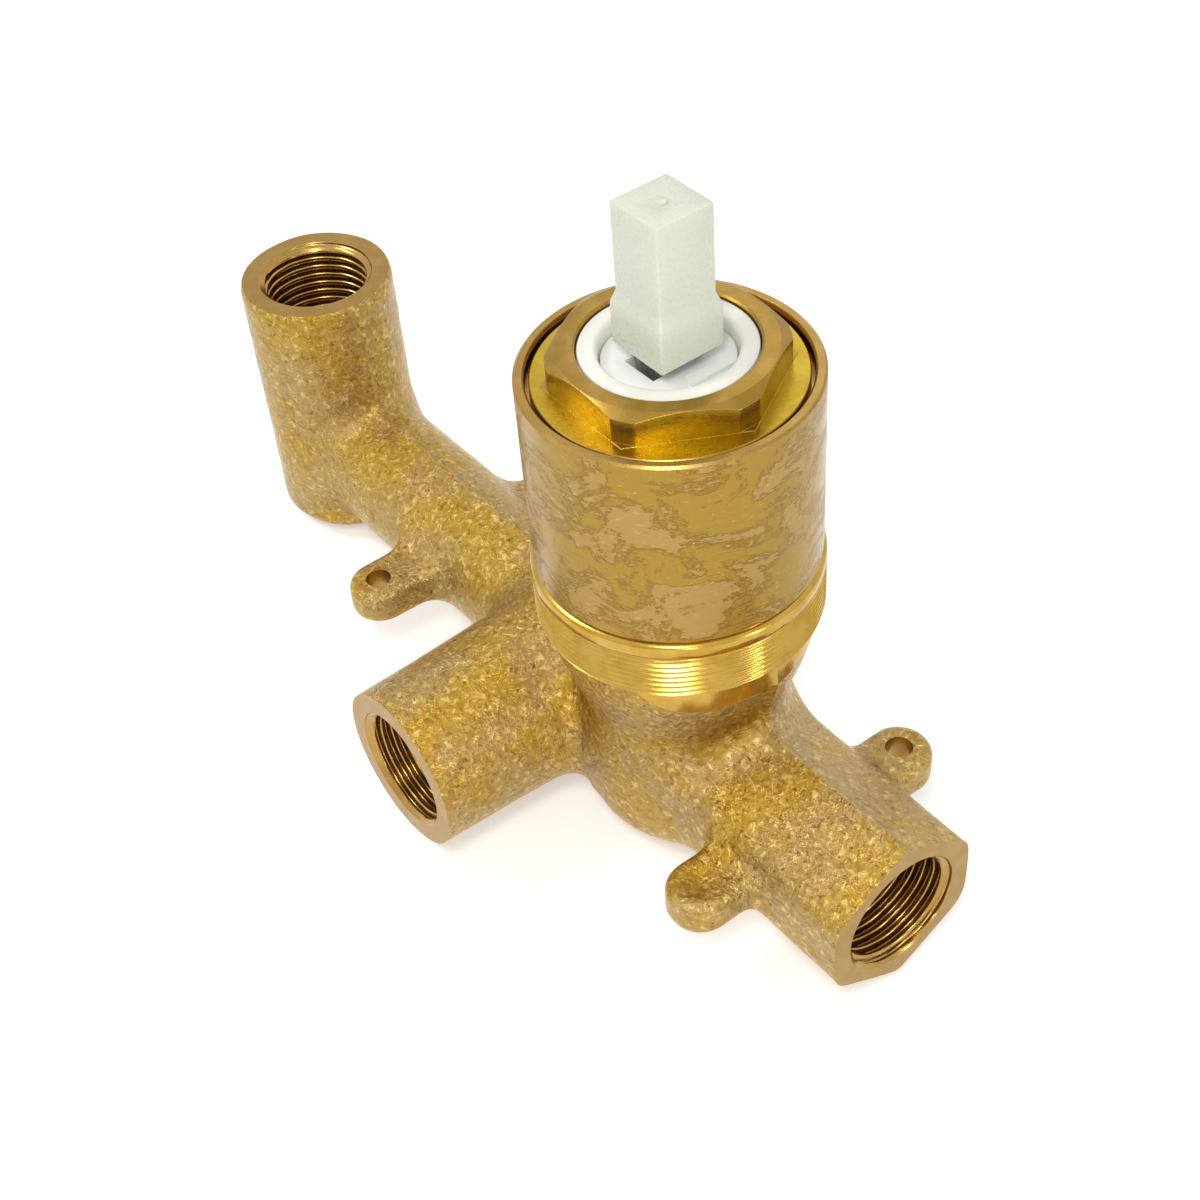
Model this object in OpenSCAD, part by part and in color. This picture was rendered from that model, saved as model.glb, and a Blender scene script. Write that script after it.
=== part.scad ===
// Concealed basin mixer body: a one-piece brass casting round a single-lever ceramic disc cartridge.
// +Z is the cartridge axis, +X points to the right inlet and -Y to the front inlet.
// The origin is the middle of the bowl's flat back, where the cartridge axis meets it.
// Heights in the sections below count from the common axis of the two long arms.

/* [Tower] */
// Outer diameter of the turned tower
tower_d = 44.1; // [43.4:0.1:48]
// Height of the tower rim above the arm axis
tower_top = 74; // [70:0.5:80]
// Outer diameter of the threaded ring for the wall flange
ring_d = 45; // [44.8:0.1:49]
// Height of the threaded ring's lower edge
ring_low = 30.65; // [29:0.05:33]
// Length of the threaded ring
ring_len = 10.35; // [8:0.05:12]
// Width of the turned groove above the ring
groove_w = 0.8; // [0.4:0.1:1.5]
// Diameter at the bottom of that groove
groove_d = 43; // [42:0.1:43.3]
// Diameter of the turned relief under the ring
relief_d = 43.4; // [42:0.1:44]
// Length of the turned relief under the ring
relief_len = 4.6; // [2:0.1:6]
// Chamfer on the tower rim and on the ring
tower_chamfer = 0.35; // [0.1:0.05:0.6]

/* [Bowl] */
// Radius of the sphere that carries the tower
bowl_r = 22.5; // [21.8:0.1:24]
// Height of the sphere's centre
bowl_z = 32.7; // [31:0.1:34]
// Diameter of the column under the sphere
column_d = 33; // [31:0.5:36]
// Depth of the column's bottom below the arm axis
bowl_depth = 17; // [16:0.5:20]
// Radius of the column's bottom edge
bowl_edge_r = 10.5; // [4:0.5:12]
// Radius of the hollow corner between sphere and column
bowl_fillet_r = 5; // [2:0.5:7]

/* [Ports] */
// Minor diameter of the G1/2 port threads
port_thread_d = 18.631; // [14.9:0.001:20]
// Diameter of the countersunk mouth of each port
port_mouth_d = 21.2; // [20.4:0.1:22]
// Depth of the port threads
port_thread_len = 15; // [11:0.5:18]
// Distance of the right inlet's face from the cartridge axis
right_reach = 50.8; // [47:0.1:62]
// Distance of the front inlet's face from the arm axis
front_reach = 41.8; // [39:0.1:50]
// Offset of the front inlet to the left of the cartridge axis
front_offset = 23.4; // [21:0.1:26]
// Outer diameter of the front inlet at its face
front_d = 28.1; // [26:0.1:30]
// Draft of the front inlet, radius per length
front_draft = 0.03; // [0:0.005:0.05]

/* [Right arm] */
// Distance from the arm axis to its top and bottom ridges
arm_ridge_r = 14.15; // [14:0.05:15]
// Distance from the arm axis to its slanted faces
arm_slant_r = 12.7; // [12.3:0.1:13.2]
// Distance from the arm axis to its upright faces
arm_side_r = 13.7; // [13:0.1:14.5]

/* [Left arm and upright] */
// Outer diameter of the round left arm
left_arm_d = 23.2; // [22.4:0.1:25]
// Distance of the upright's axis from the cartridge axis
upright_reach = 106.4; // [95:0.1:120]
// Outer diameter of the upright
upright_d = 28.3; // [26:0.1:30]
// Height of the upright's face above the arm axis
upright_top = 36.5; // [33:0.5:45]
// Depth of the upright's foot below the arm axis
upright_depth = 15.2; // [14:0.1:18]
// Radius of the foot's edge
foot_edge_r = 3.2; // [1:0.1:5]
// Height of the parting ridge over the skin
parting_h = 0.6; // [0.3:0.1:1]
// Width of the parting ridge
parting_w = 1.6; // [1:0.1:2.5]

/* [Lugs] */
// Distance between the two pairs of lugs
lug_pitch_x = 90; // [86:0.5:92]
// Position of the pair of lugs on the right arm
lug_right_x = 28.5; // [26:0.5:30]
// Distance between the lugs of a pair
lug_pitch_y = 41.6; // [40:0.2:44]
// Radius of a lug's tip
lug_r = 5.4; // [4.5:0.1:6]
// Thickness of a lug
lug_t = 6.4; // [5:0.1:8]
// Radius of a lug's edges
lug_edge_r = 1.6; // [0.5:0.1:2.2]
// Radius of the hollow corners at a lug's root
lug_root_r = 4; // [2:0.5:5]
// Diameter of the fixing holes
lug_hole_d = 4.5; // [3:0.1:5.5]
// Depth of the cast dimple in the two lugs that aren't drilled
dimple_depth = 0.5; // [0.2:0.1:1]

/* [Waterways] */
// Diameter of the passages behind the port threads
passage_d = 12; // [8:0.5:13]
// Diameter of the passage in the left arm
outlet_passage_d = 10; // [8:0.5:10.4]
// Sideways offset of that passage from the arm axis
outlet_passage_y = 4.5; // [4.2:0.1:4.8]
// Diameter of the cross passage from the front inlet
cross_passage_d = 6.8; // [5:0.2:7.2]

/* [Cartridge seat] */
// Depth of the cartridge seat below the tower rim
seat_depth = 33; // [32:0.5:34]
// Running gap between the cartridge and its cavity
cavity_gap = 0.25; // [0.1:0.05:0.5]
// Diameter of the two inlet holes in the seat
inlet_hole_d = 6.5; // [5:0.1:6.8]
// Distance of the inlet holes from the cartridge's middle plane
inlet_hole_x = 7; // [6.6:0.1:7.4]
// Distance of the inlet holes in front of the axis
inlet_hole_y = 6.5; // [6.2:0.1:7]
// Diameter of the outlet hole in the seat
outlet_hole_d = 8; // [6:0.1:8.4]
// Distance of the outlet hole behind the axis
outlet_hole_y = 8; // [7.6:0.1:8.4]

/* [Cartridge nut] */
// Outer diameter of the nut's male thread
nut_thread_d = 38; // [36.4:0.1:38.4]
// Diameter of the recess in the tower rim
nut_recess_d = 40.8; // [40:0.1:41.2]
// Depth of the recess in the tower rim
nut_recess_depth = 3; // [2.6:0.1:4]
// Gap between the nut's flange and the recess
nut_gap = 0.6; // [0.3:0.05:0.8]
// Depth of the nut's flange face below the tower rim
nut_flange_drop = 0.5; // [0.3:0.1:1]
// Width across the nut's flats
nut_flats = 31.6; // [30:0.1:32]
// Diameter that trims the nut's corners
nut_corner_d = 34.6; // [33:0.1:36]
// Height of the hexagon over the nut's flange
nut_hex_h = 4.8; // [4.4:0.1:6]
// Rise of the chamfer on the nut's corners
nut_chamfer_h = 1; // [0.4:0.1:1.5]
// Gap between the nut's bore and the cartridge neck
neck_gap = 0.2; // [0.1:0.05:0.4]
// Gap between threads that are drawn as plain cylinders
thread_gap = 0.05; // [0.02:0.01:0.1]

/* [Cartridge] */
// Outer diameter of the cartridge
cartridge_d = 34.9; // [34.5:0.1:35.6]
// Height of the neck above the shoulder
neck_h = 13.36; // [12.6:0.02:14]
// Outer diameter of the neck
neck_d = 25.6; // [25:0.1:27]
// Diameter of the opening in the neck
neck_bore_d = 19.8; // [19.4:0.1:20.6]
// Wall of the cartridge housing
housing_wall = 1.1; // [0.9:0.1:1.3]
// Roof of the cartridge housing
housing_roof = 1.5; // [1.2:0.1:2]
// Thickness of the base plate's rim
base_rim_t = 3; // [2.5:0.1:3.4]
// Height of the base plate's step inside the housing
base_step_t = 2.2; // [2:0.1:2.6]
// Diameter of the two locating pegs
peg_d = 4; // [3:0.1:4.4]
// Length of the locating pegs
peg_len = 3; // [2:0.1:4]
// Distance of the pegs from the middle plane
peg_x = 11.6; // [11:0.1:12]
// Distance of the pegs behind the axis
peg_y = 4.5; // [4:0.1:5]
// Close fit between pieces that are clipped or laid together
close_fit = 0.05; // [0.02:0.01:0.1]
// Section width of the rubber seals
seal_w = 1.4; // [1:0.1:1.6]
// Section height of the rubber seals
seal_h = 1.2; // [1:0.1:1.4]
// How far the upper seals stand out of the base plate
seal_proud = 0.2; // [0.1:0.05:0.3]

/* [Ceramic discs] */
// Gap between the fixed disc and the housing
fixed_disc_gap = 0.75; // [0.3:0.05:1]
// Travel of the moving disc each way
disc_travel = 2.9; // [2.8:0.05:3.1]
// Room left between the carrier and the housing at the end of the travel
travel_room = 0.95; // [0.5:0.05:1.2]
// Thickness of each disc
disc_t = 4; // [3.5:0.1:4.1]
// Diameter of the mixing window through the moving disc
window_d = 14.8; // [13:0.1:15.2]
// Offset of the mixing window behind the axis
window_y = 1.9; // [1.5:0.1:2.2]
// Sliding gap between faces that move on each other
slide_gap = 0.02; // [0.01:0.005:0.05]

/* [Carrier and guide] */
// Thickness of the carrier that pushes the moving disc
carrier_t = 4.4; // [4.2:0.1:4.6]
// Height of the carrier's sliding block
block_h = 1.2; // [1:0.1:1.3]
// Width of the sliding block
block_x = 16; // [15:0.1:17]
// Length of the sliding block
block_y = 14; // [12:0.1:15]
// Depth of the skirt that grips the moving disc
skirt_h = 2; // [1:0.1:2.4]
// Wall of that skirt
skirt_wall = 0.85; // [0.6:0.05:0.9]
// Gap between the carrier and the guide
guide_gap = 0.2; // [0.1:0.05:0.25]
// Width of the two rails that steer the carrier's block
rail_w = 2.5; // [2:0.1:3]
// Thickness of the guide's flange
guide_flange_t = 2; // [1.6:0.1:2.2]
// Thickness of the stop wall outside the guide's flange
stop_wall_t = 2.15; // [1.8:0.05:2.6]
// Gap between the guide's drum and the neck
drum_gap = 0.3; // [0.2:0.05:0.4]
// Depth of the guide's top below the neck's rim
guide_drop = 2; // [1.9:0.1:2.6]
// Width of the slot for the lever
lever_slot_w = 6.3; // [6.2:0.05:6.8]
// Length of the slot for the lever
lever_slot_l = 10.6; // [10.4:0.1:11.4]
// Thickness of the slide ring under the housing roof
slide_ring_t = 0.8; // [0.6:0.05:0.9]
// Angle that the guide's stop tab takes up
stop_tab_angle = 40; // [30:1:50]
// Angle that the guide turns each way
turn_limit = 50; // [40:1:55]

/* [Lever and stem] */
// Height of the lever pin below the neck's rim
pin_drop = 7.9; // [7.6:0.1:8.2]
// Diameter of the lever pin
pin_d = 3; // [2.5:0.1:3.4]
// Length of the lever pin
pin_len = 18.6; // [16:0.1:18.8]
// Distance from the lever pin down to the middle of the ball end
lever_arm = 13.1; // [12.9:0.1:13.3]
// Diameter of the lever's ball end
ball_d = 6; // [5:0.1:6]
// Height of the lever's ball end
ball_h = 2.6; // [2:0.1:2.8]
// Clearance of the ball end in its pocket
ball_gap = 0.15; // [0.1:0.01:0.2]
// Diameter of the lever's lower shaft
shaft_d = 4.4; // [4:0.1:4.4]
// Diameter of the lever's boss round the pin
boss_d = 8.4; // [7:0.1:8.6]
// Width of the lever's square upper part, along the pin
tongue_x = 6; // [5:0.1:6]
// Depth of the lever's square upper part, across the pin
tongue_y = 7; // [6:0.1:7]
// Height of the lever's tip above the pin
tongue_h = 25; // [20:0.5:27]
// Running clearance of the lever on its pin
pin_clearance = 0.04; // [0.02:0.01:0.08]
// Width of the square stem
stem_w = 9.8; // [9:0.1:11]
// Height of the stem's top above the neck's rim
stem_top = 22.8; // [20:0.1:40]
// Width of the square block at the stem's foot
foot_w = 11.1; // [10:0.1:11.3]
// Height of that block
foot_h = 8.5; // [6:0.1:12]
// Depth of the block's lower edge below the neck's rim
foot_drop = 0.4; // [0:0.1:0.5]
// Chamfer round the block's lower edge
foot_chamfer = 0.8; // [0.3:0.1:1.2]
// Diameter of the moulding mark on the stem's top
gate_d = 1.6; // [1:0.1:2]

/* [Hidden] */
$fn = 72;
// A cut runs past the faces that it opens by this much
cut = 1;
// Points on each quarter of a rounded profile
arc_steps = 8;
seat_z = tower_top - seat_depth;
ring_high = ring_low + ring_len;
lug_x = [lug_right_x - lug_pitch_x, lug_right_x];
// Radii of the cartridge stack
tower_r = tower_d / 2;
column_r = column_d / 2;
cartridge_r = cartridge_d / 2;
cavity_r = cartridge_r + cavity_gap;
chamber_r = cartridge_r - housing_wall;
neck_bore_r = neck_bore_d / 2;
fixed_disc_r = chamber_r - fixed_disc_gap;
carrier_r = chamber_r - disc_travel - travel_room;
moving_disc_r = carrier_r - skirt_wall - close_fit;
stop_wall_r = chamber_r - stop_wall_t;
guide_flange_r = stop_wall_r - guide_gap;
// Heights of the cartridge stack, from the seat upwards
base_top = seat_z + base_rim_t + base_step_t;
fixed_low = base_top + seal_proud;
moving_low = fixed_low + disc_t + slide_gap;
carrier_low = moving_low + disc_t;
carrier_top = carrier_low + carrier_t;
flange_low = carrier_top + block_h + guide_gap;
flange_top = flange_low + guide_flange_t;
roof_z = flange_top + slide_gap + slide_ring_t;
shoulder_z = roof_z + housing_roof;
neck_top = shoulder_z + neck_h;
pin_z = neck_top - pin_drop;
ball_z = pin_z - lever_arm;
guide_top = neck_top - guide_drop;
// Centres and diameters of the three ways through the base plate
WAYS = [
    [-inlet_hole_x, -inlet_hole_y, inlet_hole_d],
    [inlet_hole_x, -inlet_hole_y, inlet_hole_d],
    [0, outlet_hole_y, outlet_hole_d]
];
BRASS = "goldenrod";
IVORY = "ivory";
RUBBER = "dimgray";

// Points of an arc about [x, y], from angle a0 to a1
function arc(x, y, r, a0, a1, steps = arc_steps) =
    [for (i = [0:steps]) let (a = a0 + (a1 - a0) * i / steps) [x + r * cos(a), y + r * sin(a)]];

// Turns a profile of [height, radius] points about the Z axis
module turned_z(points) {
    rotate_extrude() polygon([for (p = points) [p[1], p[0]]]);
}

// Flat ring between two heights
module ring(outer_r, inner_r, low, high) {
    translate([0, 0, low]) difference() {
        cylinder(r = outer_r, h = high - low);
        translate([0, 0, -cut]) cylinder(r = inner_r, h = high - low + 2 * cut);
    }
}

// Outer form of the tower, its ring and the bowl, turned in one piece
module tower_and_bowl() {
    ring_r = ring_d / 2;
    relief_r = relief_d / 2;
    relief_low = ring_low - relief_len;
    // The sphere ends where it meets the turned relief
    top_angle = asin((relief_low - bowl_z) / bowl_r);
    // The hollow corner touches both the sphere and the column
    fillet_z = bowl_z - sqrt(pow(bowl_r + bowl_fillet_r, 2) - pow(column_r + bowl_fillet_r, 2));
    touch_angle = atan2(fillet_z - bowl_z, column_r + bowl_fillet_r);
    edge_x = column_r - bowl_edge_r;
    edge_z = bowl_edge_r - bowl_depth;
    rotate_extrude() polygon(concat(
        [[0, -bowl_depth]],
        arc(edge_x, edge_z, bowl_edge_r, -90, 0),
        arc(column_r + bowl_fillet_r, fillet_z, bowl_fillet_r, 180, 180 + touch_angle, arc_steps / 2),
        arc(0, bowl_z, bowl_r, touch_angle, top_angle, arc_steps * 2),
        [
            [relief_r, relief_low],
            [relief_r, ring_low],
            [ring_r - tower_chamfer, ring_low],
            [ring_r, ring_low + tower_chamfer],
            [ring_r, ring_high - tower_chamfer],
            [ring_r - tower_chamfer, ring_high],
            [groove_d / 2, ring_high],
            [groove_d / 2, ring_high + groove_w],
            [tower_r, ring_high + groove_w],
            [tower_r, tower_top - tower_chamfer],
            [tower_r - tower_chamfer, tower_top],
            [0, tower_top]
        ]
    ));
}

// Section of the right arm across +X: a rounded six-sided form with ridges on the parting line
module right_section(grow = 0) {
    side = arm_side_r + grow;
    ridge = arm_ridge_r + parting_h + grow;
    // Height at which a slanted face meets an upright one
    corner = (arm_slant_r + grow) / cos(30) - side * tan(30);
    flat = (arm_slant_r + grow) / cos(30) - parting_w / 2 * tan(30);
    intersection() {
        polygon([
            [ridge, -parting_w / 4], [ridge, parting_w / 4], [flat, parting_w / 2],
            [corner, side], [-corner, side], [-flat, parting_w / 2],
            [-ridge, parting_w / 4], [-ridge, -parting_w / 4], [-flat, -parting_w / 2],
            [-corner, -side], [corner, -side], [flat, -parting_w / 2]
        ]);
        circle(r = ridge);
    }
}

// Thin slice of the right arm at one x, raised and grown
module right_slice(x, raise, grow) {
    translate([x, 0, raise]) rotate([0, 90, 0]) linear_extrude(0.1) right_section(grow);
}

module right_arm() {
    rotate([0, 90, 0]) linear_extrude(right_reach) right_section();
    // Hollow corner on top, in two steps, where the arm runs into the bowl
    hull() {
        right_slice(column_r + 4.4, 0, -0.1);
        right_slice(column_r + 1, 1, 0.1);
    }
    hull() {
        right_slice(column_r + 1, 1, 0.1);
        right_slice(column_r - 5, 6, 0.2);
    }
}

// Thin round slice across the left arm, raised over the arm axis
module left_slice(x, raise, r) {
    translate([x, 0, raise]) rotate([0, 90, 0]) cylinder(r = r, h = 0.1, $fn = 40);
}

// Left arm, round, ending inside the upright and swelling towards the bowl
module left_arm() {
    arm_r = left_arm_d / 2;
    translate([-upright_reach, 0, 0]) rotate([0, 90, 0]) cylinder(r = arm_r, h = upright_reach);
    hull() {
        left_slice(-column_r - 9, 0, arm_r);
        left_slice(4 - column_r * 0.6, 1, column_r - 1.2);
    }
}

// Upright outlet: a round post with a rounded foot
module upright() {
    post_r = upright_d / 2;
    arm_r = left_arm_d / 2;
    translate([-upright_reach, 0, 0]) rotate_extrude() polygon(concat(
        [[0, -upright_depth]],
        arc(post_r - foot_edge_r, foot_edge_r - upright_depth, foot_edge_r, -90, 0),
        [[post_r, upright_top], [0, upright_top]]
    ));
    // Hollow corner between the post and the arm
    hull() {
        left_slice(post_r * 0.5 - upright_reach, 4, arm_r);
        left_slice(post_r + 4 - upright_reach, 0, arm_r);
    }
}

// Front inlet: a drafted round boss that blends into the bowl and the left arm
module front_inlet() {
    face_r = front_d / 2;
    root_r = face_r + front_draft * front_reach;
    translate([-front_offset, 0, 0]) rotate([90, 0, 0])
        cylinder(r1 = root_r, r2 = face_r, h = front_reach);
    // Web that rounds off the corner towards the bowl
    hull() {
        translate([-front_offset, -front_reach * 0.62, 0]) rotate([90, 0, 0])
            cylinder(r = face_r, h = 0.1, $fn = 40);
        translate([-column_r * 0.62, -column_r * 0.4, 3]) rotate([90, 0, 0])
            cylinder(r = face_r - 1, h = 0.1, $fn = 40);
    }
}

// Thin ridge that the two mould halves leave along the left arm and up the post
module parting_ridge() {
    skin = left_arm_d / 2 + parting_h;
    post_x = upright_d / 2 - upright_reach + parting_h;
    rise = 2.4;
    rotate([90, 0, 0]) translate([0, 0, -parting_w / 2]) linear_extrude(parting_w) polygon([
        [-upright_reach, upright_top - 2], [post_x - parting_h, upright_top - 2],
        [post_x, upright_top - 5], [post_x, skin + 2 * rise], [post_x + rise / 3, skin + rise],
        [post_x + 2 * rise, skin + rise / 4], [post_x + 4 * rise, skin], [-column_r - 4, skin],
        [-column_r + 2, skin + rise], [-column_r + 2, -skin], [-upright_reach, -skin]
    ]);
}

// One lug that points to +Y, from the arm axis out to its rounded tip
module lug() {
    half = lug_t / 2;
    tip_y = lug_pitch_y / 2;
    root_y = arm_side_r - 1.5;
    edge = half - lug_edge_r;
    translate([0, tip_y, 0]) rotate_extrude() polygon(concat(
        [[0, -half]],
        arc(lug_r - lug_edge_r, -edge, lug_edge_r, -90, 0, arc_steps / 2),
        arc(lug_r - lug_edge_r, edge, lug_edge_r, 0, 90, arc_steps / 2),
        [[0, half]]
    ));
    // Straight neck of the same section, a hair smaller than the tip
    neck = lug_r - close_fit;
    translate([0, tip_y, 0]) rotate([90, 0, 0]) linear_extrude(tip_y) polygon(concat(
        arc(neck - lug_edge_r, edge - close_fit, lug_edge_r, 0, 90, arc_steps / 2),
        arc(lug_edge_r - neck, edge - close_fit, lug_edge_r, 90, 180, arc_steps / 2),
        arc(lug_edge_r - neck, close_fit - edge, lug_edge_r, 180, 270, arc_steps / 2),
        arc(neck - lug_edge_r, close_fit - edge, lug_edge_r, 270, 360, arc_steps / 2)
    ));
    // Hollow corners where the neck runs into the arm
    translate([0, 0, -edge]) linear_extrude(2 * edge) polygon(concat(
        [[-neck - lug_root_r, 0]],
        arc(-neck - lug_root_r, root_y + lug_root_r, lug_root_r, -90, 0),
        arc(neck + lug_root_r, root_y + lug_root_r, lug_root_r, 180, 270),
        [[neck + lug_root_r, 0]]
    ));
}

module lugs() {
    for (x = lug_x) for (side = [0, 1]) translate([x, 0, 0]) mirror([0, side, 0]) lug();
}

// Threaded mouth of a port with the passage behind it, bored along +Z down from z = 0
module port_bore(depth) {
    mouth_r = port_mouth_d / 2;
    thread_r = port_thread_d / 2;
    translate([0, 0, -port_thread_len]) cylinder(r = thread_r, h = port_thread_len + cut);
    translate([0, 0, thread_r - mouth_r]) cylinder(r1 = thread_r, r2 = mouth_r + cut, h = mouth_r - thread_r + cut);
    translate([0, 0, -depth]) cylinder(d = passage_d, h = depth);
    // Cone left by the drill at the end of the thread
    translate([0, 0, -port_thread_len - 2]) cylinder(d1 = passage_d, r2 = thread_r, h = 2.01);
}

// Waterways from the three ports up to the three holes in the cartridge seat
module waterways() {
    // The drills run a little past the holes that they meet
    past = 1;
    front_depth = front_reach - inlet_hole_y;
    cross_y = -inlet_hole_y - cross_passage_d / 2 + 0.4;
    translate([right_reach, 0, 0]) rotate([0, 90, 0]) port_bore(right_reach - inlet_hole_x + past);
    translate([-front_offset, -front_reach, 0]) rotate([90, 0, 0]) port_bore(front_depth);
    translate([-upright_reach, 0, upright_top]) port_bore(upright_top + outlet_passage_d / 2 + past);
    translate([-front_offset, cross_y, 0]) rotate([0, 90, 0])
        cylinder(d = cross_passage_d, h = front_offset - inlet_hole_x + past);
    translate([-upright_reach, outlet_passage_y, 0]) rotate([0, 90, 0])
        cylinder(d = outlet_passage_d, h = upright_reach + past);
    for (way = WAYS) translate([way[0], way[1], -past]) cylinder(d = way[2], h = seat_z + past + cut);
}

// Round room that takes the cartridge and its nut, and the peg holes in its floor
module cartridge_cavity() {
    nut_r = nut_thread_d / 2 + thread_gap;
    nut_low = shoulder_z - housing_roof;
    translate([0, 0, seat_z]) cylinder(r = cavity_r, h = seat_depth + cut);
    translate([0, 0, nut_low]) cylinder(r = nut_r, h = tower_top - nut_low + cut);
    translate([0, 0, tower_top - nut_recess_depth]) cylinder(d = nut_recess_d, h = nut_recess_depth + cut);
    for (side = [-1, 1]) translate([side * peg_x, peg_y, seat_z - peg_len - 2 * cavity_gap])
        cylinder(d = peg_d + cavity_gap, h = peg_len + cut);
}

module lug_holes() {
    tip_y = lug_pitch_y / 2;
    for (hole = [[lug_x[0], -tip_y], [lug_x[1], tip_y]])
        translate([hole[0], hole[1], -lug_t]) cylinder(d = lug_hole_d, h = 2 * lug_t);
    for (blank = [[lug_x[0], tip_y], [lug_x[1], -tip_y]])
        translate([blank[0], blank[1], lug_t / 2 - dimple_depth])
            cylinder(d1 = lug_r, d2 = lug_r + 4 * dimple_depth, h = 2 * dimple_depth);
}

module valve_body() {
    color(BRASS) difference() {
        union() {
            tower_and_bowl();
            right_arm();
            left_arm();
            upright();
            front_inlet();
            parting_ridge();
            lugs();
        }
        waterways();
        cartridge_cavity();
        lug_holes();
    }
}

// Brass ring nut: a male thread, a flange in the tower's recess and a trimmed hexagon
module cartridge_nut() {
    flange_top_z = tower_top - nut_flange_drop;
    hex_top = flange_top_z + nut_hex_h;
    corner_r = nut_corner_d / 2;
    bore_r = neck_d / 2 + neck_gap;
    color(BRASS) difference() {
        union() {
            translate([0, 0, shoulder_z]) cylinder(d = nut_thread_d, h = tower_top - nut_recess_depth - shoulder_z);
            translate([0, 0, tower_top - nut_recess_depth])
                cylinder(r = nut_recess_d / 2 - nut_gap, h = nut_recess_depth - nut_flange_drop);
            intersection() {
                translate([0, 0, flange_top_z - cut]) rotate([0, 0, 30])
                    cylinder(d = nut_flats / cos(30), h = nut_hex_h + cut, $fn = 6);
                turned_z([
                    [flange_top_z - cut, 0], [flange_top_z - cut, corner_r],
                    [hex_top - nut_chamfer_h, corner_r],
                    [hex_top, nut_flats / 2 - 0.2], [hex_top, 0]
                ]);
            }
        }
        translate([0, 0, shoulder_z - cut]) cylinder(r = bore_r, h = hex_top - shoulder_z + 2 * cut);
    }
}

// White housing: a thin cup open below, with a thick neck above and a stop wall inside
module cartridge_housing() {
    housing_low = seat_z + base_rim_t;
    free_angle = stop_tab_angle + 2 * turn_limit + 1;
    color(IVORY) {
        difference() {
            union() {
                translate([0, 0, housing_low]) cylinder(r = cartridge_r, h = shoulder_z - housing_low);
                turned_z([
                    [shoulder_z - housing_roof, 0], [shoulder_z - housing_roof, neck_d / 2],
                    [neck_top - 0.4, neck_d / 2], [neck_top, neck_d / 2 - 0.4], [neck_top, 0]
                ]);
            }
            translate([0, 0, housing_low - cut]) cylinder(r = chamber_r, h = roof_z - housing_low + cut);
            translate([0, 0, roof_z - cut]) cylinder(r = neck_bore_r, h = neck_top - roof_z + 2 * cut);
            translate([0, 0, neck_top - 0.6]) cylinder(r1 = neck_bore_r, r2 = neck_bore_r + 1.6, h = 1.6);
        }
        // Wall inside the roof that the guide's tab runs against
        rotate([0, 0, 90 + free_angle / 2]) rotate_extrude(angle = 360 - free_angle)
            translate([stop_wall_r, flange_low])
                square([chamber_r - stop_wall_r + housing_wall / 2, shoulder_z - flange_low - housing_roof / 2]);
    }
}

// Base plate with three ways, seal grooves on both faces and two locating pegs
module cartridge_base() {
    color("gainsboro") difference() {
        union() {
            translate([0, 0, seat_z]) cylinder(r = cartridge_r, h = base_rim_t);
            translate([0, 0, seat_z]) cylinder(r = chamber_r - close_fit, h = base_rim_t + base_step_t);
            for (side = [-1, 1]) translate([side * peg_x, peg_y, seat_z - peg_len])
                cylinder(d = peg_d, h = peg_len + cut);
        }
        for (way = WAYS) translate([way[0], way[1], 0]) {
            translate([0, 0, seat_z - cut]) cylinder(d = way[2], h = base_rim_t + base_step_t + 2 * cut);
            translate([0, 0, seat_z - cut]) cylinder(r = way[2] / 2 + seal_w, h = seal_h + cut);
            translate([0, 0, base_top - seal_h + seal_proud]) cylinder(r = way[2] / 2 + seal_w, h = seal_h);
        }
    }
}

// Round rubber seal in a groove about one way of the base plate
module way_seal(way, low) {
    color(RUBBER) translate([way[0], way[1], 0])
        ring(way[2] / 2 + seal_w, way[2] / 2, low, low + seal_h);
}

module hot_inlet_seal() {
    way_seal(WAYS[0], seat_z);
}

module cold_inlet_seal() {
    way_seal(WAYS[1], seat_z);
}

module outlet_seal() {
    way_seal(WAYS[2], seat_z);
}

module hot_disc_seal() {
    way_seal(WAYS[0], fixed_low - seal_h);
}

module cold_disc_seal() {
    way_seal(WAYS[1], fixed_low - seal_h);
}

module outlet_disc_seal() {
    way_seal(WAYS[2], fixed_low - seal_h);
}

module fixed_disc() {
    color("whitesmoke") difference() {
        translate([0, 0, fixed_low]) cylinder(r = fixed_disc_r, h = disc_t);
        for (way = WAYS) translate([way[0], way[1], fixed_low - cut])
            cylinder(d = way[2], h = disc_t + 2 * cut);
    }
}

module moving_disc() {
    color("white") difference() {
        translate([0, 0, moving_low]) cylinder(r = moving_disc_r, h = disc_t);
        translate([0, window_y, moving_low - cut]) cylinder(d = window_d, h = disc_t + 2 * cut);
    }
}

// Rubber ring that closes the top of the mixing window against the carrier
module carrier_seal() {
    inner_r = window_d / 2 + seal_w / 4;
    color(RUBBER) translate([0, window_y, 0])
        ring(inner_r + seal_w, inner_r, carrier_low, carrier_low + seal_h);
}

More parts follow.
